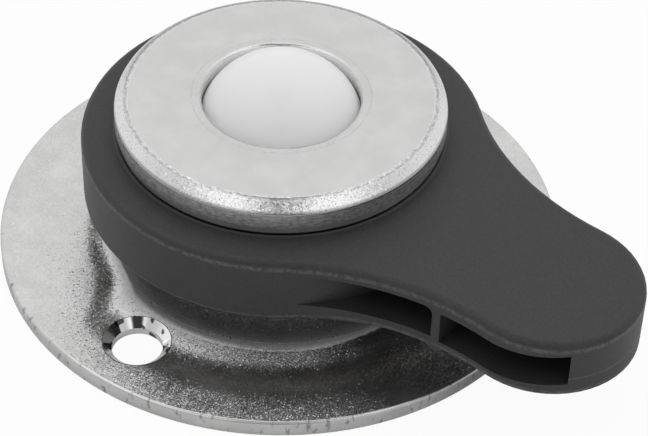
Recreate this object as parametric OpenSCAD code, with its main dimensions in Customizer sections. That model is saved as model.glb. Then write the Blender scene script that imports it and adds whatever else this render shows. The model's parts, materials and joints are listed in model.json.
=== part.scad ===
// Lever-operated lift ball transfer unit.
// A load ball runs on a nest of small support balls inside a cup. The cup slides up and
// down in a guide sleeve on a pressed flange plate. Three follower pins of the cup stand
// in the helical slots of a cam ring, which turns with the moulded lever, so a quarter
// turn of the lever raises the ball from its low to its high position.
// The lever points along +X in the low position. Z is up and z = 0 is the mounting face.

/* [Flange plate] */
// Outside diameter of the flange plate
plate_d = 80; // [76:1:96]
// Sheet thickness of the flange plate
plate_t = 2.2; // [1.8:0.1:2.4]
// Radius of the die roll on the plate's upper edge
plate_edge_r = 0.5; // [0.3:0.1:0.8]
// Number of screw holes
hole_count = 3; // [2:1:4]
// Pitch circle diameter of the screw holes
hole_pcd = 63; // [62:0.5:64]
// Diameter of a screw hole
hole_d = 7; // [5:0.1:7.4]
// Diameter of the 90 degree countersink at the plate's upper face
sink_d = 9.3; // [8:0.1:9.6]
// Angle of the first screw hole from the lever's low position
hole_start = 33.4; // [30:0.2:38]
// Height of the drawn boss above the mounting face
boss_h = 9.5; // [9.2:0.1:9.8]
// Outside radius of the drawn boss
boss_r = 22.5; // [22.2:0.1:23.5]
// Bend radius at the foot of the boss
foot_r = 3; // [2:0.1:4]
// Bend radius at the top of the boss
crown_r = 1.4; // [0.8:0.1:1.8]

/* [Ball and cup] */
// Diameter of the load ball
ball_d = 23.8; // [23.4:0.1:24]
// Height of the ball's centre in the low position
ball_z = 18.4; // [18:0.1:19]
// Diameter of a support ball
sup_d = 3; // [2.8:0.1:3]
// Thickness of the hardened raceway
race_t = 0.7; // [0.6:0.1:0.8]
// Wall of the cup around the raceway
cup_t = 0.9; // [0.8:0.1:1]
// Rings of support balls round the bottom ball
sup_rings = 5; // [3:1:5]

/* [Cap and carrier] */
// Outside radius of the cap
cap_r = 23; // [22.9:0.1:23.3]
// Height of the cap's top face in the low position
cap_top = 25.2; // [25:0.1:26]
// Thickness of the cap's top
cap_t = 2.2; // [1.8:0.1:2.3]
// Radius of the cap's shoulder
cap_shoulder_r = 1.9; // [1.4:0.1:2]
// Radius of the opening that keeps the ball in
mouth_r = 11; // [10.6:0.1:11.2]
// Radius of the rounded edge of that opening
mouth_edge_r = 0.6; // [0.3:0.1:0.7]
// Depth of the cap's skirt below its top
cap_skirt = 1.7; // [1.5:0.1:1.8]
// Wall of the cap's skirt
cap_wall = 1.25; // [1.1:0.05:1.4]
// Wall of the carrier's skirt round the cam ring
carrier_wall = 1.2; // [1:0.1:1.4]
// Height of the carrier's collar below the cap
collar_h = 1.1; // [0.9:0.1:1.2]

/* [Lift mechanism] */
// Height by which the lever raises the ball
lift = 3; // [2:0.1:3]
// Angle that the lever turns through
throw = 90; // [70:5:90]
// Wall of the guide sleeve
sleeve_t = 1.8; // [1.7:0.1:1.9]
// Wall of the cam ring
cam_t = 1.2; // [1.1:0.1:1.3]
// Thickness of the cam ring's flange
cam_flange_t = 1; // [0.8:0.1:1.1]
// Diameter of a follower pin
pin_d = 2.4; // [2:0.1:2.4]
// Height of the follower pins in the low position
pin_z = 16.7; // [16.6:0.1:16.9]
// Number of follower pins
pin_count = 3; // [2:1:3]
// Running clearance between the cup and the sleeve
slide_gap = 0.1; // [0.05:0.05:0.15]
// Clearance round a follower pin in its slot
pin_gap = 0.15; // [0.1:0.05:0.2]

/* [Lever] */
// Outside radius of the lever's eye
eye_r = 28.1; // [27.6:0.1:29]
// Shift of the eye's outside from the ball's axis towards the handle
eye_x = 0.55; // [0:0.05:1]
// Distance from the ball's axis to the centre of the lever's round end
end_x = 46.4; // [45:0.2:55]
// Radius of the lever's round end
end_r = 12.4; // [11.6:0.1:13.4]
// Radius of the hollow blend between eye and handle
blend_r = 39; // [34:1:55]
// Height of the lever's top face
lever_top = 20; // [19.7:0.1:20.1]
// Radius of the lever's upper edge
lever_edge_r = 1; // [0.6:0.1:1.2]
// Radius of the lever's lower edge
lever_foot_r = 0.5; // [0.3:0.1:0.7]
// Radius of the bore that the ball unit sinks into
bore_r = 22.3; // [22.2:0.1:22.5]
// Width and depth of the rounded mouth of that bore
bore_edge_r = 0.9; // [0.6:0.1:1.1]
// Thickness of the lever's floor
floor_t = 1.7; // [1.5:0.1:1.8]
// Rise of the handle's underside above that of the eye
handle_rise = 1.4; // [1:0.1:2]
// Distance from the ball's axis at which the underside starts to rise
rise_start = 14; // [12:1:18]
// Distance from the ball's axis from which the underside is level
rise_end = 31; // [28:1:34]
// Wall of the handle below its side pockets
pocket_floor = 1.5; // [1.2:0.1:1.8]
// Wall of the handle above its side pockets
pocket_roof = 2.1; // [1.6:0.1:2.4]
// Thickness of the cross web between the pockets
web_t = 1.2; // [1:0.1:2]
// Thickness of the spine along the handle
spine_t = 1.8; // [1.2:0.1:3]
// Distance from the ball's axis to the cross web
web_x = 37.8; // [36:0.2:40]
// Solid length of the lever's round end
tip_len = 3.1; // [2:0.1:5]

/* [Hidden] */

steel = "#c9cbcd";
dark_steel = "#7d8084";
black_plastic = "#3a3b3d";
white_plastic = "#eceae4";
felt_grey = "#b9b4a8";
brass = "#b8963f";

eps = 0.05;
plate_r = plate_d / 2;
ball_r = ball_d / 2;

// Radii of the nest, from the ball outwards
race_r = ball_r + sup_d;
race_out_r = race_r + race_t;
cup_r = race_out_r + cup_t;
sleeve_in_r = cup_r + slide_gap;
sleeve_r = sleeve_in_r + sleeve_t;
cam_gap = 0.2;
cam_in_r = sleeve_r + cam_gap;
cam_r = cam_in_r + cam_t;
cam_flange_r = bore_r - 0.1;

// Heights of the stack on the boss, from the bottom up
run_gap = 0.05;
seat_gap = 0.2;
bush_t = 0.5;
lever_bot = boss_h + bush_t;
floor_top = lever_bot + floor_t;
wave_h = 0.7;
wave_t = 0.3;
shim_t = 0.2;
clip_t = 0.8;
clip_depth = 0.5;
shim_z = floor_top + wave_h;
clip_z = shim_z + shim_t;
cam_z = clip_z + clip_t + seat_gap;
cam_flange_top = cam_z + cam_flange_t;
carrier_t = 1;
carrier_z = cap_top - cap_t - carrier_t;
cam_top = carrier_z - seat_gap;
sleeve_flange_t = 1;
sleeve_z = boss_h - plate_t - sleeve_flange_t;
boss_in_r = boss_r - plate_t;
cavity_r = cam_r + 0.3;
bush_r = sleeve_r + 1;

// Pins and screws: where they start, and the screws' sizes
pin_start = 60;
screw_start = 30;
screw_count = 3;
screw_d = 1.4;
screw_head_d = 1.8;
screw_len = 2.8;
screw_r = (cam_r + cam_flange_r) / 2;

// Clearances and widths of the plain rings
weld_gap = 0.3;
washer_r = sleeve_r + 1.4;
felt_h = 2.3;
felt_gap = 0.1;

// Outline of the lever: eye, hollow blends and round end, all tangent
reach = end_x - eye_x;
blend_x = ((eye_r + blend_r) ^ 2 - (end_r + blend_r) ^ 2 + reach ^ 2) / (2 * reach);
blend_y = sqrt((eye_r + blend_r) ^ 2 - blend_x ^ 2);
eye_a = atan2(blend_y, blend_x);
end_a = atan2(blend_y, blend_x - reach);

function arc(cx, cy, r, a0, a1, n) =
    [for (i = [0 : n - 1]) let(a = a0 + (a1 - a0) * i / n) [cx + r * cos(a), cy + r * sin(a)]];

// Steps along the arcs of the lever's outline
end_steps = 28;
blend_steps = 14;
eye_steps = 60;

// The lever's outline, moved outwards by d
function lever_outline(d) = concat(
    arc(end_x, 0, end_r + d, -end_a, end_a, end_steps),
    arc(eye_x + blend_x, blend_y, blend_r - d, end_a + 180, eye_a + 180, blend_steps),
    arc(eye_x, 0, eye_r + d, eye_a, 360 - eye_a, eye_steps),
    arc(eye_x + blend_x, -blend_y, blend_r - d, 180 - eye_a, 180 - end_a, blend_steps));

// Levels of a slab with rounded edges, each as [outward offset, height]
function slab_levels(z0, z1, r0, r1, n) = concat(
    [for (i = [0 : n]) let(a = 90 * i / n) [r0 * (sin(a) - 1), z0 + r0 * (1 - cos(a))]],
    [for (i = [0 : n]) let(a = 90 * i / n) [r1 * (cos(a) - 1), z1 - r1 + r1 * sin(a)]]);

// Closed skin over stacked rings of n points, n even. Each ring is symmetric about a line
// through its point number mid, so that strips across this line close both ends.
module skin(rings, mid) {
    n = len(rings[0]);
    last = len(rings) - 1;
    strips = concat(
        [for (k = [0 : n / 2 - 2]) [mid + k, mid + k + 1, mid - k - 1 + n]],
        [for (k = [1 : n / 2 - 1]) [mid + k, mid - k - 1 + n, mid - k + n]]);
    bottom = [for (t = strips) [t[0] % n, t[1] % n, t[2] % n]];
    top = [for (t = bottom) [t[2] + last * n, t[1] + last * n, t[0] + last * n]];
    sides = [for (k = [0 : last - 1]) for (i = [0 : n - 1])
        let(a = k * n + i, b = k * n + (i + 1) % n) each [[a, a + n, b + n], [a, b + n, b]]];
    polyhedron([for (ring = rings) each ring], concat(sides, bottom, top), convexity = 6);
}

module ring(r_in, r_out, z0, h, fn = 128) {
    translate([0, 0, z0])
        rotate_extrude($fn = fn)
            translate([r_in, 0])
                square([r_out - r_in, h]);
}

// Ring section between a ball-shaped inside of radius r and an outer cylinder
module ball_ring(r, r_out, z0, z1) {
    rotate_extrude($fn = 128)
        difference() {
            translate([0, z0])
                square([r_out, z1 - z0]);
            translate([0, ball_z])
                circle(r, $fn = 128);
        }
}

// Half profile between two ball-shaped surfaces below the ball's centre
module bowl(r_in, r_out) {
    rotate_extrude($fn = 128)
        intersection() {
            translate([0, ball_z])
                difference() {
                    circle(r_out, $fn = 128);
                    circle(r_in, $fn = 128);
                }
            translate([0, ball_z - r_out - 1])
                square([r_out + 1, r_out + 1]);
        }
}

module at_pins() {
    for (i = [0 : pin_count - 1])
        rotate([0, 0, pin_start + i * 360 / pin_count])
            children();
}

// ---------------------------------------------------------------- flange plate

module flange_profile() {
    union() {
        // Flat flange with a die-rolled upper edge
        translate([boss_r + foot_r, 0])
            square([plate_r - plate_edge_r - boss_r - foot_r, plate_t]);
        translate([plate_r - plate_edge_r - eps, 0])
            square([plate_edge_r + eps, plate_t - plate_edge_r]);
        translate([plate_r - plate_edge_r, plate_t - plate_edge_r])
            circle(plate_edge_r, $fn = 48);
        // Bend at the foot
        translate([boss_r + foot_r, plate_t + foot_r])
            intersection() {
                difference() {
                    circle(foot_r + plate_t, $fn = 96);
                    circle(foot_r, $fn = 96);
                }
                translate([-foot_r - plate_t - 1, -foot_r - plate_t - 1])
                    square([foot_r + plate_t + 1 + eps, foot_r + plate_t + 1 + eps]);
            }
        // Upright wall of the boss
        translate([boss_in_r, plate_t + foot_r])
            square([plate_t, boss_h - crown_r - plate_t - foot_r]);
        // Crown with its rounded shoulder
        translate([sleeve_r, boss_h - plate_t])
            square([boss_r - crown_r - sleeve_r, plate_t]);
        translate([boss_r - crown_r, boss_h - plate_t])
            square([crown_r, plate_t - crown_r]);
        translate([boss_r - crown_r, boss_h - crown_r])
            intersection() {
                circle(crown_r, $fn = 48);
                translate([-eps, -eps])
                    square(crown_r + 2 * eps);
            }
    }
}

module flange_plate() {
    color(steel)
        difference() {
            rotate_extrude($fn = 180)
                flange_profile();
            for (i = [0 : hole_count - 1])
                rotate([0, 0, hole_start + i * 360 / hole_count])
                    translate([hole_pcd / 2, 0, 0])
                        screw_hole();
        }
}

module screw_hole() {
    sink_h = (sink_d - hole_d) / 2;
    translate([0, 0, -1])
        cylinder(h = plate_t + 2, d = hole_d, $fn = 64);
    translate([0, 0, plate_t - sink_h])
        cylinder(h = sink_h + eps, d1 = hole_d, d2 = sink_d + 2 * eps, $fn = 64);
}

// Guide sleeve, welded below the crown of the boss
module guide_sleeve() {
    color(dark_steel)
        difference() {
            union() {
                ring(sleeve_in_r, sleeve_r, sleeve_z, cam_top - sleeve_z);
                ring(sleeve_in_r, boss_in_r - weld_gap, sleeve_z, sleeve_flange_t);
            }
            ring(sleeve_r - clip_depth, sleeve_r + 1, clip_z, clip_t);
            at_pins()
                translate([sleeve_in_r - 1, -pin_d / 2 - pin_gap, pin_z - pin_d / 2 - pin_gap])
                    cube([sleeve_t + 2, pin_d + 2 * pin_gap, cam_top]);
        }
}

// Pressed cover that closes the boss from below
module base_cover() {
    cover_t = 0.8;
    cover_z = 0.4;
    drain_r = 2;
    color(dark_steel) {
        ring(drain_r, boss_in_r, cover_z, cover_t);
        ring(boss_in_r - cover_t, boss_in_r, cover_z, sleeve_z - seat_gap - cover_z);
    }
}

// Spring washer with three waves, which holds the lever down with a light drag
module wave_washer() {
    n = 72;
    waves = 3;
    r0 = sleeve_r + 2 * run_gap;
    r1 = washer_r;
    swing = (wave_h - wave_t) / 2 - run_gap / 2;
    mid = floor_top + wave_h / 2;
    function h(a) = mid + swing * cos(waves * a);
    pts = [for (i = [0 : n - 1]) let(a = 360 * i / n, c = cos(a), s = sin(a))
        each [[r0 * c, r0 * s, h(a) - wave_t / 2], [r1 * c, r1 * s, h(a) - wave_t / 2],
            [r1 * c, r1 * s, h(a) + wave_t / 2], [r0 * c, r0 * s, h(a) + wave_t / 2]]];
    faces = [for (i = [0 : n - 1]) for (k = [0 : 3])
        let(a = 4 * i, b = 4 * ((i + 1) % n), m = (k + 1) % 4)
            each [[a + k, b + k, b + m], [a + k, b + m, a + m]]];
    color(steel)
        polyhedron(pts, faces, convexity = 4);
}

module shim_washer() {
    color(steel)
        ring(sleeve_r + run_gap, washer_r, shim_z, shim_t);
}

// Open retaining ring in the groove of the sleeve
module retaining_ring() {
    gap_a = 24;
    clip_out = 1.3;
    color(dark_steel)
        translate([0, 0, clip_z])
            rotate([0, 0, gap_a / 2])
                rotate_extrude(angle = 360 - gap_a, $fn = 128)
                    translate([sleeve_r - clip_depth, 0])
                        square([clip_depth + clip_out, clip_t]);
}

// ---------------------------------------------------------------- lever

module lever() {
    color(black_plastic)
        difference() {
            skin([for (l = slab_levels(lever_bot, lever_top, lever_foot_r, lever_edge_r, 5))
                [for (p = lever_outline(l[0])) [p[0], p[1], l[1]]]], end_steps / 2);
            // Stepped bore for the bush, the stack of washers, the cam ring and the cap
            translate([0, 0, lever_bot - 1])
                cylinder(h = floor_t + 2, r = bush_r, $fn = 128);
            translate([0, 0, floor_top])
                cylinder(h = cam_z, r = cavity_r, $fn = 128);
            translate([0, 0, cam_z])
                cylinder(h = lever_top, r = bore_r, $fn = 128);
            bore_mouth();
            handle_relief();
            handle_pockets();
            at_screws()
                translate([0, 0, cam_z - screw_len])
                    cylinder(h = screw_len + eps, d = screw_d, $fn = 32);
        }
}

module at_screws() {
    for (i = [0 : screw_count - 1])
        rotate([0, 0, screw_start + i * 360 / screw_count])
            translate([screw_r, 0, 0])
                children();
}

// Rounded mouth of the bore, as three cones that follow a quarter circle
module bore_mouth() {
    turns = 3;
    rotate_extrude($fn = 128)
        polygon(concat([[bore_r - eps, lever_top - bore_edge_r]],
            [for (i = [0 : turns]) let(a = 90 * i / turns)
                [bore_r + bore_edge_r * (1 - cos(a)), lever_top - bore_edge_r * (1 - sin(a))]],
            [[bore_r + bore_edge_r, lever_top + 1], [bore_r - eps, lever_top + 1]]));
}

// Material taken away below the handle, from the collar round the boss outwards. A low
// rib stays below the cross web.
module handle_relief() {
    collar_t = 1;
    rib_h = 0.8;
    rib_foot = 1.3;
    rib_top = 0.4;
    far = end_x + end_r + 2;
    z_level = lever_bot + handle_rise;
    difference() {
        translate([0, end_r + blend_r, 0])
            rotate([90, 0, 0])
                linear_extrude(height = 2 * (end_r + blend_r))
                    polygon([[rise_start, lever_bot - 1], [far, lever_bot - 1], [far, z_level],
                        [web_x + rib_foot, z_level], [web_x + rib_top, z_level - rib_h],
                        [web_x - rib_top, z_level - rib_h], [web_x - rib_foot, z_level],
                        [rise_end, z_level], [rise_start, lever_bot]]);
        cylinder(h = lever_top, r = boss_r + collar_t, $fn = 128);
    }
}

// Side pockets of the handle, open to both sides of the central spine. The inner ones
// run out in the round wall of the eye.
module handle_pockets() {
    z_floor = lever_bot + handle_rise + pocket_floor;
    z_roof = lever_top - pocket_roof;
    x_tip = end_x + end_r - tip_len;
    inner_end = web_x - web_t / 2;
    depth = end_r + blend_r;
    corner_r = 1.2;
    skin_t = 0.15;
    sag = 0.4;
    tip_rise = 0.2;
    difference() {
        for (side = [0, 1])
            mirror([0, side, 0])
                translate([0, -spine_t / 2, 0])
                    rotate([90, 0, 0])
                        linear_extrude(height = depth) {
                            translate([rise_start, z_floor])
                                square([inner_end - rise_start, z_roof - corner_r - z_floor]);
                            translate([rise_start, z_floor])
                                square([inner_end - rise_start - corner_r, z_roof - z_floor]);
                            translate([inner_end - corner_r, z_roof - corner_r])
                                circle(corner_r, $fn = 32);
                            polygon([[web_x + web_t / 2, z_floor - sag], [end_x, z_floor - sag],
                                [x_tip, z_floor + tip_rise], [x_tip, z_roof + tip_rise],
                                [end_x, z_roof - sag], [web_x + web_t / 2, z_roof - sag]]);
                        }
        translate([eye_x, 0, 0])
            cylinder(h = 2 * lever_top, r = eye_r + skin_t, $fn = 128);
    }
}

// Flanged plain bush between the lever and the sleeve
module lever_bush() {
    color(brass) {
        ring(sleeve_r + run_gap, bush_r, boss_h + run_gap, floor_top - boss_h - run_gap);
        ring(sleeve_r + run_gap, boss_r, boss_h + run_gap, bush_t - run_gap);
    }
}

// Ring with one helical slot for each follower pin, screwed into the lever
module cam_ring() {
    color(dark_steel)
        difference() {
            union() {
                ring(cam_in_r, cam_r, cam_z, cam_top - cam_z);
                ring(cam_in_r, cam_flange_r, cam_z, cam_flange_t);
            }
            at_pins()
                cam_slot();
            at_screws()
                screw_shape(screw_head_d / 2, screw_d / 2);
        }
}

// One helical slot: it rises by the lift while it runs back through the lever's throw
module cam_slot() {
    n = 25;
    half = pin_d / 2 + pin_gap;
    r0 = cam_in_r - pin_gap;
    r1 = cam_r + pin_gap;
    skin([for (i = [0 : n])
        let(a = -throw * i / n, z = pin_z + lift * i / n, c = cos(a), s = sin(a))
            [[r0 * c, r0 * s, z - half], [r1 * c, r1 * s, z - half],
                [r1 * c, r1 * s, z + half], [r0 * c, r0 * s, z + half]]], 0);
    for (i = [0, 1])
        rotate([0, 0, -throw * i])
            translate([r0, 0, pin_z + lift * i])
                rotate([0, 90, 0])
                    cylinder(h = r1 - r0, r = half + eps, $fn = 48);
}

// Countersunk screw shape with its head flush with the cam ring's flange
module screw_shape(head_r, shank_r) {
    translate([0, 0, cam_z - screw_len])
        cylinder(h = screw_len + cam_flange_t, r = shank_r, $fn = 32);
    translate([0, 0, cam_flange_top - head_r + shank_r])
        cylinder(h = head_r - shank_r, r1 = shank_r, r2 = head_r, $fn = 32);
}

module cam_screws() {
    slot_w = 0.5;
    slot_h = 0.4;
    color(steel)
        at_screws()
            difference() {
                screw_shape(screw_head_d / 2, screw_d / 2);
                translate([-screw_head_d, -slot_w / 2, cam_flange_top - slot_h])
                    cube([2 * screw_head_d, slot_w, 1]);
            }
}

// ---------------------------------------------------------------- ball unit

// Thick cap with a rounded shoulder and a rounded mouth over the ball
module cap() {
    mouth_gap = 0.15;
    color(steel)
        rotate_extrude($fn = 180)
            difference() {
                union() {
                    translate([mouth_r + mouth_edge_r, cap_top - cap_t])
                        square([cap_r - cap_shoulder_r - mouth_r - mouth_edge_r, cap_t]);
                    translate([mouth_r, cap_top - cap_t])
                        square([cap_t, cap_t - mouth_edge_r]);
                    translate([mouth_r + mouth_edge_r, cap_top - mouth_edge_r])
                        circle(mouth_edge_r, $fn = 48);
                    translate([cap_r - cap_shoulder_r, cap_top - cap_shoulder_r])
                        circle(cap_shoulder_r, $fn = 96);
                    translate([cap_r - cap_wall, cap_top - cap_t - cap_skirt])
                        square([cap_wall, cap_t + cap_skirt - cap_shoulder_r]);
                    translate([cap_r - cap_shoulder_r - eps, cap_top - cap_t])
                        square([cap_shoulder_r + eps, cap_t - cap_shoulder_r]);
                }
                translate([0, ball_z])
                    circle(ball_r + mouth_gap, $fn = 128);
                // Space for the carrier below the cap
                translate([0, cap_top - cap_t - cap_skirt - 1])
                    square([cap_r - cap_wall, cap_skirt + 1]);
            }
}

// Carrier between the cap and the cup, with a collar below the cap and a skirt that
// runs in the bore of the lever
module carrier() {
    step_in = 0.3;
    foot_gap = 1.4;
    skirt_r = cap_r - cap_wall;
    in_r = skirt_r - carrier_wall;
    collar_z = cap_top - cap_t - cap_skirt - collar_h;
    foot_z = cam_flange_top + foot_gap;
    color(dark_steel) {
        ring(cup_r, skirt_r, carrier_z, carrier_t);
        ring(in_r, skirt_r, foot_z, carrier_z + carrier_t - foot_z);
        ring(in_r, cap_r - step_in, collar_z, collar_h);
    }
}

module cup() {
    color(steel)
        difference() {
            union() {
                bowl(race_out_r, cup_r);
                ring(race_out_r, cup_r, ball_z, cap_top - cap_t - ball_z);
            }
            pin_holes();
        }
}

module raceway() {
    color(dark_steel)
        difference() {
            bowl(race_r, race_out_r);
            pin_holes();
        }
}

module pin_holes() {
    at_pins()
        translate([0, 0, pin_z])
            rotate([0, 90, 0])
                cylinder(h = cup_r + 1, d = pin_d, $fn = 48);
}

// Follower pins, pressed into the cup from outside
module follower_pins() {
    sink = 0.3;
    pin_in = race_r + sink;
    color(steel)
        at_pins()
            translate([pin_in, 0, pin_z])
                rotate([0, 90, 0])
                    cylinder(h = cam_r - pin_in, d = pin_d, $fn = 48);
}

// Support balls: one at the bottom and rings of them up the side of the bowl
module support_balls() {
    nest_r = ball_r + sup_d / 2;
    pitch = sup_d + 0.1;
    step = 2 * asin(pitch / 2 / nest_r);
    color(steel)
        translate([0, 0, ball_z]) {
            translate([0, 0, -nest_r])
                sphere(d = sup_d, $fn = 32);
            for (k = [1 : sup_rings])
                let(n = floor(360 / (2 * asin(pitch / 2 / (nest_r * sin(k * step))))))
                    for (i = [0 : n - 1])
                        rotate([0, 0, 360 * i / n])
                            rotate([0, 180 - k * step, 0])
                                translate([0, 0, nest_r])
                                    sphere(d = sup_d, $fn = 32);
        }
}

// Ring that keeps the support balls in their bowl
module ball_retainer() {
    low = 3;
    lip = 0.4;
    color(white_plastic)
        ball_ring(ball_r + seat_gap, race_r - lip, ball_z - low, ball_z);
}

module spacer_ring() {
    color(black_plastic)
        ball_ring(ball_r + seat_gap, race_out_r, ball_z, cap_top - cap_t - felt_h);
}

// Felt ring that wipes the ball below the cap's mouth
module felt_seal() {
    color(felt_grey)
        ball_ring(ball_r + felt_gap, race_out_r, cap_top - cap_t - felt_h, cap_top - cap_t);
}

module ball() {
    color(white_plastic)
        translate([0, 0, ball_z])
            sphere(d = ball_d, $fn = 96);
}

flange_plate();
guide_sleeve();
base_cover();
wave_washer();
shim_washer();
retaining_ring();
lever();
lever_bush();
cam_ring();
cam_screws();
cap();
carrier();
cup();
raceway();
support_balls();
ball_retainer();
spacer_ring();
felt_seal();
follower_pins();
ball();
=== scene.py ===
"""Ball transfer unit with lift lever: finishes, stage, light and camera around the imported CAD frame."""
import json
import math

import bpy
from mathutils import Matrix, Vector


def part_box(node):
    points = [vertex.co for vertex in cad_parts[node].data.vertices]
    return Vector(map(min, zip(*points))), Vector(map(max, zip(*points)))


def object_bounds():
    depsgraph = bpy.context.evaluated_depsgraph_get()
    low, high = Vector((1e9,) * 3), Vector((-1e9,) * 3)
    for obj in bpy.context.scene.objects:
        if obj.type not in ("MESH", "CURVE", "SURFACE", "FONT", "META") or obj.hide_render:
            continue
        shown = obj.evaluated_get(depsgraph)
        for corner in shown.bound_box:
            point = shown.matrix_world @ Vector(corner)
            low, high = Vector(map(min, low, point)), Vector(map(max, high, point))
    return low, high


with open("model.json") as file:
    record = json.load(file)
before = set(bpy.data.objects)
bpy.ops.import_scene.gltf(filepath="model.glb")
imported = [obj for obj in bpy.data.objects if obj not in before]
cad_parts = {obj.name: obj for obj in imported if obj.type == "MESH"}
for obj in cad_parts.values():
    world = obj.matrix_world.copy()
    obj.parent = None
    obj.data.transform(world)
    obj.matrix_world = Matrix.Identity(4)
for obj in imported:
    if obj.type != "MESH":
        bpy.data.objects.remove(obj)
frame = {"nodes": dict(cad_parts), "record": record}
CAD_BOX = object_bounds()

MM = 0.001

# Camera, in the frame of the CAD: lever towards +X, plate on the floor. Angles are in degrees, lens and
# sensor in millimetres.
CAMERA_AZIMUTH = 40.8
CAMERA_ELEVATION = 42.56
CAMERA_ROLL = 1.82
CAMERA_DISTANCE = 320 * MM
CAMERA_AIM = Vector((10.14, -2.33, 10.0)) * MM
CAMERA_LENS = 122.7
SENSOR = 36.0
CLIP_START = 0.01
AZIMUTH = math.radians(CAMERA_AZIMUTH)
VIEW_LEFT = (-math.cos(AZIMUTH), -math.sin(AZIMUTH), 0.0)

# Light of the room. A pale wall stands all round, and the round parts lie over it, each over those
# before it: brightness, elevation of its middle on the camera's side, half width and soft edge in degrees.
WALL_LEVEL = 0.88
ROUND_PARTS = {
    "front wall": (0.55, 0, 85, 25),
    "ceiling": (1.3, 84, 41, 4),
    "dim middle of the ceiling": (0.2, 84, 18, 5),
    "dark place round the lens": (0.04, CAMERA_ELEVATION, 15, 5),
}

FLOOR_HALF = 3.0
FLOOR_GAP = 0.05 * MM
FLOOR_PAPER = 0.9
FLOOR_GLOW = 0.94


# ---------------------------------------------------------------- node tools
class Nodes:
    """Builds the nodes of one tree."""

    def __init__(self, tree):
        self.tree = tree

    def feed(self, socket, value):
        """Links a socket to another one, or gives it a value."""
        if isinstance(value, bpy.types.NodeSocket):
            self.tree.links.new(value, socket)
        else:
            socket.default_value = value

    def node(self, kind, inputs, **settings):
        made = self.tree.nodes.new(kind)
        for key, value in settings.items():
            setattr(made, key, value)
        for key, value in inputs.items():
            self.feed(made.inputs[key], value)
        return made

    def math(self, operation, a, b=0.0, c=0.0):
        return self.node("ShaderNodeMath", {0: a, 1: b, 2: c}, operation=operation).outputs[0]

    def plus(self, a, b):
        return self.math("ADD", a, b)

    def minus(self, a, b):
        return self.math("SUBTRACT", a, b)

    def times(self, value, *factors):
        for factor in factors:
            value = self.math("MULTIPLY", value, factor)
        return value

    def either(self, *masks):
        """1 where at least one of the masks is."""
        covered = masks[0]
        for mask in masks[1:]:
            covered = self.math("MAXIMUM", covered, mask)
        return covered

    def opposite(self, mask):
        return self.minus(1.0, mask)

    def vector(self, operation, a, b=(0, 0, 0), scale=1.0):
        inputs = {0: a, "Scale": scale} if operation == "SCALE" else {0: a, 1: b}
        made = self.node("ShaderNodeVectorMath", inputs, operation=operation)
        return made.outputs["Value" if operation in {"LENGTH", "DOT_PRODUCT"} else "Vector"]

    def combine(self, x, y, z):
        return self.node("ShaderNodeCombineXYZ", {0: x, 1: y, 2: z}).outputs[0]

    def separate(self, vector):
        return self.node("ShaderNodeSeparateXYZ", {0: vector}).outputs

    def step(self, value, low, high, start=0.0, end=1.0):
        """value from low to high becomes start to end, smoothly and clamped."""
        made = self.node(
            "ShaderNodeMapRange",
            {"Value": value, 1: low, 2: high, 3: start, 4: end},
            interpolation_type="SMOOTHSTEP",
        )
        return made.outputs["Result"]

    def band(self, value, middle, half):
        """1 at this value, fading to 0 at half above and below it."""
        away = self.math("ABSOLUTE", self.minus(value, middle))
        return self.step(away, half, 0.3 * half)

    def blend(self, factor, a, b):
        """Mixes two numbers."""
        made = self.node("ShaderNodeMix", {0: factor, 2: a, 3: b}, data_type="FLOAT")
        return made.outputs[0]

    def mix(self, factor, a, b):
        """Mixes a colour or a colour socket with a colour."""
        first = a if isinstance(a, bpy.types.NodeSocket) else (*a, 1.0)
        return self.node("ShaderNodeMix", {0: factor, 6: first, 7: (*b, 1.0)}, data_type="RGBA").outputs[2]

    def length(self, *parts):
        """Length of a vector with these two or three parts."""
        total = self.math("MULTIPLY", parts[0], parts[0])
        for part in parts[1:]:
            total = self.math("MULTIPLY_ADD", part, part, total)
        return self.math("SQRT", total)


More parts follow.
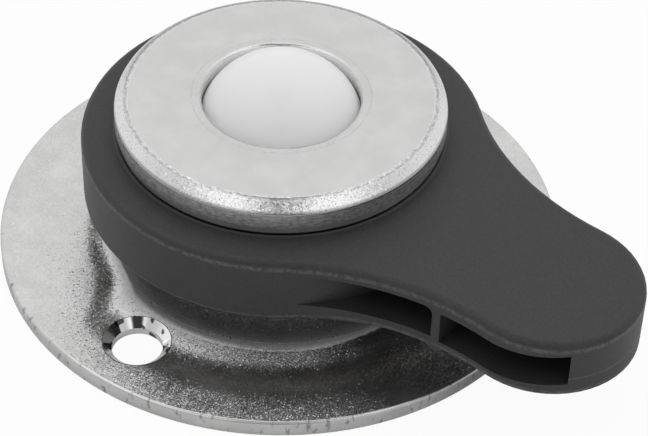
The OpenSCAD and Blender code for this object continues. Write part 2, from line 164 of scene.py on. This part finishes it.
class Finish(Nodes):
    """A material built up node by node. Lengths in it are millimetres."""

    def __init__(self, name, metallic=0.0):
        self.material = bpy.data.materials.new(name)
        self.material.use_nodes = True
        super().__init__(self.material.node_tree)
        self.shader = self.tree.nodes["Principled BSDF"]
        self.put("Metallic", metallic)
        here = self.tree.nodes.new("ShaderNodeTexCoord").outputs["Object"]
        self.point = self.vector("SCALE", here, scale=1 / MM)
        self.x, self.y, self.z = self.separate(self.point)
        self.facing = self.node("ShaderNodeNewGeometry", {}).outputs["Normal"]

    def put(self, socket, value):
        """Gives a socket of the shader a value or a link."""
        self.feed(self.shader.inputs[socket], value)

    def paint(self, color, *layers):
        """Lays greys over a colour, each where its mask is 1."""
        for mask, level in layers:
            color = self.mix(mask, color, grey(level))
        return color

    def radius(self):
        """Distance from the unit's axis."""
        return self.length(self.x, self.y)

    def around(self, radius):
        """Distance round the unit's axis, measured at this radius."""
        return self.times(self.math("ARCTAN2", self.y, self.x), radius)

    def noise(self, size, detail=2.0, roughness=0.5, at=None, stretch=None):
        """Noise with features of about this size."""
        at = at or self.point
        if stretch:
            at = self.vector("MULTIPLY", at, stretch)
        made = self.node(
            "ShaderNodeTexNoise",
            {"Vector": at, "Scale": 1 / size, "Detail": detail, "Roughness": roughness},
        )
        return made.outputs["Fac"]

    def bump(self, height, depth, normal=None):
        """Relief whose height from 0 to 1 stands for this depth."""
        inputs = {"Strength": 1.0, "Distance": depth * MM, "Height": height}
        if normal:
            inputs["Normal"] = normal
        self.put("Normal", self.node("ShaderNodeBump", inputs).outputs[0])

    def bends(self, way, *turns):
        """Lean of a section in radians. Each turn adds degrees between two places along the way."""
        total = 0.0
        for start, end, degrees in turns:
            total = self.plus(total, self.step(way, start, end, 0.0, math.radians(degrees)))
        return total

    def leaning(self, tilt, share):
        """Surface normal, swung by share towards one that leans out from the axis by tilt."""
        out = self.math("DIVIDE", self.math("SINE", tilt), self.math("MAXIMUM", self.radius(), 0.01))
        swung = self.combine(self.times(self.x, out), self.times(self.y, out), self.math("COSINE", tilt))
        inputs = {0: share, 4: self.facing, 5: swung}
        mixed = self.node("ShaderNodeMix", inputs, data_type="VECTOR").outputs[1]
        return self.vector("NORMALIZE", mixed)

    def crystals(self, normal, size, lean):
        """Normal broken up into grains: most lie nearly flat, a few lean a lot."""
        cells = self.node("ShaderNodeTexVoronoi", {"Vector": self.point, "Scale": 1 / size})
        side = self.vector("SUBTRACT", cells.outputs["Color"], grey(0.5))
        away = self.vector("LENGTH", side)
        side = self.vector("SCALE", side, scale=self.times(away, away, lean))
        return self.vector("NORMALIZE", self.vector("ADD", normal, side))


def grey(level):
    return (level, level, level)


def dress(material, *names):
    for name in names:
        node = frame["nodes"][name]
        node.data.materials.clear()
        node.data.materials.append(material)


# ---------------------------------------------------------------- zinc-plated steel
# Sizes of the solids that the finishes follow, in millimetres
BOSS_R = 22.5
PLATE_T = 2.2
CAP_TOP = 25.2
SHOULDER = 1.9
MOUTH_R = 12.0
COUNTERSINK_R = 4.75
FIRST_HOLE = 33.4  # degrees round the axis

# Cove between flange and boss. Places on it are given by their distance out from the boss's wall, less
# their height above the plate. Each bend has the places where it starts and ends, and its degrees.
COVE_SHIFT = (1.0, -1.2)
COVE_BENDS = ((9.4, 4.5, 23), (4.5, 3.0, 4), (3.0, 1.2, 62))
# Places of the cove between which the plate is painted darker towards the boss: painted shade under the
# lever
COVE_PAINTED_SHADE = (6.5, 1.5)
COVE_NARROWING = 2.2
COVE_NARROW_FROM = (0.76, 0.93)  # cosine of the angle from the left of the view, at its start and in full
COVE_LIMIT_R = BOSS_R + 13.5
DISH_MIDDLE = 8.2
DISH_HALF = 4.0
DISH_TILT = math.radians(9)

# Bends of the cap's shoulder, along a way that is 0 at its inner edge and 1 at its lower one
SHOULDER_BENDS = ((0.0, 0.14, 41), (0.86, 1.0, 49))

CRYSTAL = 0.15  # size of the zinc's grains in millimetres
ZINC_LIGHT = (0.71, 0.71, 0.705)
CAP_CLOUD = (0.66, 0.66, 0.655)
FLANGE_CLOUD = (0.63, 0.63, 0.625)


def zinc(name):
    """Bright zinc plating: a fine sparkling grain on faint clouds."""
    f = Finish(name, metallic=1.0)
    f.clouds = f.noise(5.0, detail=4, roughness=0.6)
    f.grain = f.noise(0.22, detail=2, roughness=0.6)
    return f


def hole_mask(f, reach):
    """1 within this distance of a screw hole's axis."""
    mount = next(m for m in frame["record"]["mounts"] if m["kind"] == "bolt_pattern")
    circle_r = mount["dims"]["pcd_mm"] / 2
    pitch = 2 * math.pi / mount["dims"]["count"]
    turn = f.minus(f.math("ARCTAN2", f.y, f.x), math.radians(FIRST_HOLE))
    folded = f.minus(turn, f.times(f.math("ROUND", f.math("DIVIDE", turn, pitch)), pitch))
    radius = f.radius()
    across = f.minus(f.times(radius, f.math("COSINE", folded)), circle_r)
    along = f.times(radius, f.math("SINE", folded))
    away = f.vector("LENGTH", f.combine(across, along, 0.0))
    return f.step(away, reach + 0.05, reach - 0.05)


def cove_place(f):
    """Distance out from the boss's wall, less the height above the plate."""
    away = f.length(f.minus(f.x, COVE_SHIFT[0]), f.minus(f.y, COVE_SHIFT[1]))
    place = f.minus(f.minus(away, BOSS_R), f.minus(f.z, PLATE_T))
    # Narrower on the left of the view, where the plate stays flat almost up to the boss
    outward = f.vector("NORMALIZE", f.combine(f.x, f.y, 0.0))
    leftness = f.vector("DOT_PRODUCT", outward, VIEW_LEFT)
    return f.times(place, f.step(leftness, *COVE_NARROW_FROM, 1.0, COVE_NARROWING))


def flange_zinc():
    """Plating of the flange plate: torn rim, cut countersinks and a wide soft cove up to the boss, with
    painted shade near the boss under the lever.
    """
    f = zinc("flange_zinc")
    radius = f.radius()
    edge_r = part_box("flange_plate")[1].x / MM
    on_top = f.step(f.z, PLATE_T - 0.2, PLATE_T - 0.05)

    # Sheared rim: upright tears round the outside
    tears = f.noise(0.9, detail=3, at=f.combine(f.around(edge_r), f.times(f.z, 0.35), 0.0))
    rim = f.step(radius, edge_r - 0.6, edge_r - 0.35)
    # Smooth cut cone of the countersinks, with a few chatter marks
    sink = hole_mask(f, COUNTERSINK_R)
    chatter = f.step(f.noise(1.6, detail=1), 0.63, 0.66)

    place = cove_place(f)
    color = f.mix(f.step(f.clouds, 0.35, 0.7), FLANGE_CLOUD, ZINC_LIGHT)
    color = f.paint(
        color,
        (f.times(rim, f.step(tears, 0.58, 0.66)), 0.36),
        # Painted shade under the lever: the cove near the boss darkened to grey 0.3
        (f.times(f.step(place, *COVE_PAINTED_SHADE), on_top), 0.3),
        (sink, 0.9),
        (f.times(sink, chatter), 0.12),
    )
    f.put("Base Color", color)
    rough = f.step(f.clouds, 0.3, 0.7, 0.27, 0.33)
    rough = f.blend(sink, rough, 0.06)
    f.put("Roughness", f.blend(rim, rough, 0.3))

    # Lean of the cove, less a shallow dish outside it
    dish = f.times(f.band(place, DISH_MIDDLE, DISH_HALF), DISH_TILT)
    tilt = f.minus(f.bends(place, *COVE_BENDS), dish)
    uncut = f.opposite(sink)
    share = f.times(f.step(radius, COVE_LIMIT_R, COVE_LIMIT_R - 1), on_top, uncut)
    lean = f.times(f.opposite(f.either(sink, rim)), 0.8)
    normal = f.crystals(f.leaning(tilt, share), CRYSTAL, lean)
    f.bump(f.blend(rim, f.times(f.grain, uncut), tears), 0.02, normal)
    return f.material


def cap_zinc():
    """Plating of the cap: a flat face, a shoulder rubbed bright with a painted highlight and painted shade
    lines, a scuffed wall and a grainy mouth with a painted shade ring and a painted reflection.
    """
    f = zinc("cap_zinc")
    radius = f.radius()
    cap_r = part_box("cap")[1].x / MM
    face_r = cap_r - SHOULDER
    fall = f.minus(CAP_TOP, f.z)

    # Shoulder: a flat slope between two tight bends
    way = f.math("DIVIDE", f.plus(f.minus(radius, face_r), fall), 2 * SHOULDER)
    above_wall = f.step(fall, SHOULDER + 0.05, SHOULDER - 0.05)
    slope = f.times(f.step(radius, face_r - 0.15, face_r), above_wall)
    wall = f.step(fall, SHOULDER - 0.1, SHOULDER + 0.1)
    mouth = f.step(radius, MOUTH_R + 0.6, MOUTH_R - 0.4)
    inside = f.times(f.step(radius, MOUTH_R + 0.3, MOUTH_R), f.step(fall, 0.1, 0.5))
    worn = f.either(slope, mouth)

    # Marks drawn out round the cap
    drawn = f.combine(f.times(f.around(cap_r), 0.35), f.plus(radius, f.z), 0.0)
    scuffs = f.noise(0.35, detail=3, roughness=0.7, at=drawn)
    specks = f.step(f.noise(0.22, detail=2, roughness=0.7), 0.55, 0.65, 0.0, 0.6)

    color = f.mix(f.step(f.clouds, 0.35, 0.7), CAP_CLOUD, ZINC_LIGHT)
    color = f.paint(
        color,
        # Shoulder rubbed brighter, partly a painted highlight
        (slope, 0.8),
        # Painted shade line, broken by scuffs, at the shoulder's inner bend
        (f.times(slope, f.band(way, 0.1, 0.12), f.step(scuffs, 0.35, 0.6)), 0.5),
        (f.times(slope, specks), 0.4),
        # Painted shade: darker towards the shoulder's lower bend
        (f.times(slope, f.step(way, 0.72, 0.86)), 0.42),
        # Painted shade ring, broken by scuffs, round the mouth next to the ball
        (f.times(f.band(radius, MOUTH_R + 0.4, 0.2), f.step(scuffs, 0.4, 0.6)), 0.58),
        # Paler, less metallic plating inside the mouth: a painted reflection of the white ball
        (inside, 0.85),
        (wall, 0.66),
        (f.times(wall, f.step(scuffs, 0.42, 0.62)), 0.4),
    )
    f.put("Base Color", color)
    f.put("Metallic", f.blend(inside, 1.0, 0.4))
    rough = f.blend(worn, f.step(f.clouds, 0.3, 0.7, 0.3, 0.36), 0.22)
    f.put("Roughness", f.blend(wall, rough, 0.48))

    lean = f.blend(f.either(slope, wall), 0.1, 0.45)
    normal = f.crystals(f.leaning(f.bends(way, *SHOULDER_BENDS), slope), CRYSTAL, lean)
    f.bump(f.blend(f.either(worn, wall), f.times(f.grain, 0.5), scuffs), 0.024, normal)
    return f.material


# ---------------------------------------------------------------- plastics
# Sizes of the lever, in millimetres
LEVER_TOP = 20
LEVER_BOTTOM = 10
HANDLE_RISE = 1.4
HANDLE_RISE_X = (14, 31)
BORE_R = 23.4
LEVER_GRAIN_DEPTH = 0.014
PARTING_STEP = 8.0  # times the grain's depth
PARTING_Z = 12.35
PARTING_X = (26, 34)
CREASE_Z = 14.0
CREASE_X = (50, 53)

LEVER_BLACK = (0.028, 0.028, 0.029)
LEVER_SPECK = (0.05, 0.05, 0.051)
# Grey of the painted edge highlights, also used for the rubbed crease of the tip
LEVER_HIGHLIGHT_AND_RUB = grey(0.085)


def moulded(name, color, roughness, grain=0.18, shade=0.85):
    """Moulded plastic with a fine eroded grain and faint flow clouds, and no relief yet."""
    f = Finish(name)
    f.texture = f.noise(grain, detail=2, roughness=0.6)
    clouds = f.noise(9.0, detail=3)
    f.color = f.mix(f.step(clouds, 0.35, 0.65), tuple(shade * c for c in color), color)
    f.put("Base Color", f.color)
    matt = f.math("MULTIPLY_ADD", f.texture, 0.5, f.times(clouds, 0.5))
    f.put("Roughness", f.step(matt, 0.35, 0.65, roughness * 0.92, roughness * 1.1))
    return f


def liner_nylon():
    """Plain dark nylon of the rings inside."""
    f = moulded("liner_nylon", grey(0.1), 0.5)
    f.bump(f.texture, 0.006)
    return f.material


def ball_nylon():
    """White moulded nylon that lets a little light in, ground smooth."""
    f = moulded("ball_nylon", (0.955, 0.955, 0.95), 0.38, grain=0.4, shade=0.985)
    f.bump(f.texture, 0.002)
    f.put("Subsurface Weight", 0.7)
    f.put("Subsurface Radius", grey(1.0))
    f.put("Subsurface Scale", 4 * MM)
    return f.material


def lever_nylon():
    """Black moulding with an eroded grain, with painted highlights along its edges and round the bore's
    mouth, and rubbed paler along the crease of its tip.
    """
    f = moulded("black_nylon", LEVER_BLACK, 0.5)
    radius = f.radius()
    drop = f.minus(LEVER_TOP, f.z)
    bottom = f.step(f.x, *HANDLE_RISE_X, LEVER_BOTTOM, LEVER_BOTTOM + HANDLE_RISE)
    upward = f.math("ABSOLUTE", f.separate(f.facing)[2])
    outside = f.times(f.step(radius, BORE_R + 1.6, BORE_R + 2.6), f.step(upward, 0.8, 0.5))
    mottle = f.step(f.noise(0.7, detail=4, roughness=0.7), 0.35, 0.6)

    # Painted highlights: mottled paler lines along the upper and lower edges of the sides, and a paler
    # ring at the bore's mouth
    upper_edge_highlight = f.times(f.band(drop, 1.1, 0.5), mottle)
    lower_edge_highlight = f.times(f.band(f.minus(f.z, bottom), 0.3, 0.35), mottle)
    bore_edge_highlight = f.times(f.step(radius, BORE_R, BORE_R - 0.3), f.step(drop, 1.2, 0.6))
    crease = f.times(f.band(f.z, CREASE_Z, 0.2), f.step(f.x, *CREASE_X), mottle)
    highlit_and_rubbed = f.either(f.times(outside, f.either(upper_edge_highlight, lower_edge_highlight)), bore_edge_highlight, crease)

    specks = f.step(f.noise(0.3, detail=1), 0.35, 0.65, 0.0, 0.35)
    color = f.mix(specks, f.color, LEVER_SPECK)
    # Painted highlights and the rubbed crease, in one paler grey
    f.put("Base Color", f.mix(highlit_and_rubbed, color, LEVER_HIGHLIGHT_AND_RUB))
    parting = f.times(f.step(f.z, PARTING_Z, PARTING_Z + 0.15), f.step(f.x, *PARTING_X))
    f.bump(f.math("MULTIPLY_ADD", parting, PARTING_STEP, f.texture), LEVER_GRAIN_DEPTH)
    return f.material


# ---------------------------------------------------------------- inner pieces
def steel(name, color, roughness, depth=0.006):
    """Plain steel with fine drawing marks."""
    f = Finish(name, metallic=1.0)
    marks = f.noise(0.3, detail=3, stretch=(1, 1, 4))
    dark = tuple(0.8 * c for c in color)
    f.put("Base Color", f.mix(f.step(f.noise(4.0, detail=3), 0.35, 0.7), dark, color))
    f.put("Roughness", f.step(marks, 0.3, 0.7, roughness * 0.85, roughness * 1.2))
    f.bump(marks, depth)
    return f.material


def felt_cloth():
    """Grey-brown wool felt with loose fibres."""
    f = Finish("felt_wool")
    fibres = f.noise(0.25, detail=5, roughness=0.75)
    f.put("Base Color", f.mix(f.step(fibres, 0.3, 0.7), (0.3, 0.28, 0.24), (0.5, 0.48, 0.43)))
    f.put("Roughness", 0.95)
    f.put("Sheen Weight", 0.3)
    f.bump(fibres, 0.12)
    return f.material


dress(flange_zinc(), "flange_plate")
dress(cap_zinc(), "cap")
dress(lever_nylon(), "lever")
dress(ball_nylon(), "ball")
dress(liner_nylon(), "ball_retainer", "spacer_ring")
dress(felt_cloth(), "felt_seal")
dress(steel("carrier_steel", grey(0.6), 0.48), "carrier")
dress(steel("pressed_steel", grey(0.55), 0.35), "guide_sleeve", "cup", "base_cover", "cam_ring")
dress(steel("spring_steel", (0.4, 0.4, 0.42), 0.3), "wave_washer", "shim_washer", "retaining_ring")
dress(steel("bearing_steel", grey(0.72), 0.12, depth=0.001),
      "raceway", "support_balls", "follower_pins", "cam_screws")
dress(steel("bush_bronze", (0.6, 0.42, 0.22), 0.38), "lever_bush")


# ---------------------------------------------------------------- facets
SHARP_EDGE = math.radians(32)
MERGE_GAP = 0.001 * MM


def round_off(name):
    """Shades the facets of a curved outline as one surface; real corners stay sharp."""
    group = bpy.data.node_groups.new("round_off", "GeometryNodeTree")
    for way in ("INPUT", "OUTPUT"):
        group.interface.new_socket("Geometry", in_out=way, socket_type="NodeSocketGeometry")
    g = Nodes(group)
    mesh = g.node("NodeGroupInput", {}).outputs[0]
    mesh = g.node("GeometryNodeMergeByDistance", {"Geometry": mesh, "Distance": MERGE_GAP}).outputs[0]
    angle = g.node("GeometryNodeInputMeshEdgeAngle", {}).outputs["Unsigned Angle"]
    corner = g.math("GREATER_THAN", angle, SHARP_EDGE)
    mesh = g.node(
        "GeometryNodeSetMeshNormal",
        {"Mesh": mesh, "Remove Custom": True, "Edge Sharpness": corner},
        mode="SHARPNESS",
    ).outputs[0]
    g.node("NodeGroupOutput", {0: mesh})
    node = frame["nodes"][name]
    node.modifiers.new("round_off", "NODES").node_group = group
    node.modifiers.new("weighted", "WEIGHTED_NORMAL").keep_sharp = True


round_off("lever")


# ---------------------------------------------------------------- stage and light
def towards_camera(elevation):
    """Unit vector on the camera's side at this elevation in degrees."""
    height = math.sin(math.radians(elevation))
    flat = math.cos(math.radians(elevation))
    return Vector((math.sin(AZIMUTH) * flat, -math.cos(AZIMUTH) * flat, height))


def make_camera():
    data = bpy.data.cameras.new("camera")
    data.lens = CAMERA_LENS
    data.sensor_width = SENSOR
    data.clip_start = CLIP_START
    camera = bpy.data.objects.new("camera", data)
    bpy.context.scene.collection.objects.link(camera)
    place = CAMERA_DISTANCE * towards_camera(CAMERA_ELEVATION)
    turn = (CAMERA_AIM - place).to_track_quat("-Z", "Y").to_matrix().to_4x4()
    roll = Matrix.Rotation(math.radians(CAMERA_ROLL), 4, "Z")
    camera.matrix_world = Matrix.Translation(place) @ turn @ roll
    bpy.context.scene.camera = camera


def make_floor():
    """White paper that glows to the camera, so that only the contact shadow shows on it."""
    corners = [(x * FLOOR_HALF, y * FLOOR_HALF, 0) for x, y in ((-1, -1), (1, -1), (1, 1), (-1, 1))]
    mesh = bpy.data.meshes.new("floor")
    mesh.from_pydata(corners, [], [(0, 1, 2, 3)])
    floor = bpy.data.objects.new("floor", mesh)
    floor.location.z = CAD_BOX[0].z - FLOOR_GAP
    bpy.context.scene.collection.objects.link(floor)
    material = bpy.data.materials.new("floor_paper")
    material.use_nodes = True
    material.node_tree.nodes.clear()
    p = Nodes(material.node_tree)
    paper = p.node("ShaderNodeBsdfDiffuse", {"Color": (*grey(FLOOR_PAPER), 1.0)}).outputs[0]
    glow = p.node("ShaderNodeEmission", {}).outputs[0]
    direct = p.node("ShaderNodeLightPath", {}).outputs["Is Camera Ray"]
    both = p.node("ShaderNodeMixShader", {0: p.times(direct, FLOOR_GLOW), 1: paper, 2: glow})
    p.node("ShaderNodeOutputMaterial", {0: both.outputs[0]})
    mesh.materials.append(material)


def make_world():
    """A pale room for light and reflections, and plain white where the camera looks past the floor."""
    world = bpy.data.worlds.new("studio")
    bpy.context.scene.world = world
    world.use_nodes = True
    world.node_tree.nodes.clear()
    w = Nodes(world.node_tree)
    look = w.node("ShaderNodeTexCoord", {}).outputs["Generated"]
    level = WALL_LEVEL
    for part_level, elevation, half, soft in ROUND_PARTS.values():
        inner, outer = (math.cos(math.radians(half + side * soft)) for side in (-1, 1))
        toward = w.vector("DOT_PRODUCT", look, towards_camera(elevation))
        level = w.blend(w.step(toward, outer, inner), level, part_level)
    room = w.node("ShaderNodeBackground", {"Color": (1, 1, 1, 1), "Strength": level})
    white = w.node("ShaderNodeBackground", {"Color": (1, 1, 1, 1)})
    direct = w.node("ShaderNodeLightPath", {}).outputs["Is Camera Ray"]
    both = w.node("ShaderNodeMixShader", {0: direct, 1: room.outputs[0], 2: white.outputs[0]})
    w.node("ShaderNodeOutputWorld", {0: both.outputs[0]})


make_camera()
make_floor()
make_world()
bpy.context.scene.view_settings.view_transform = "Standard"
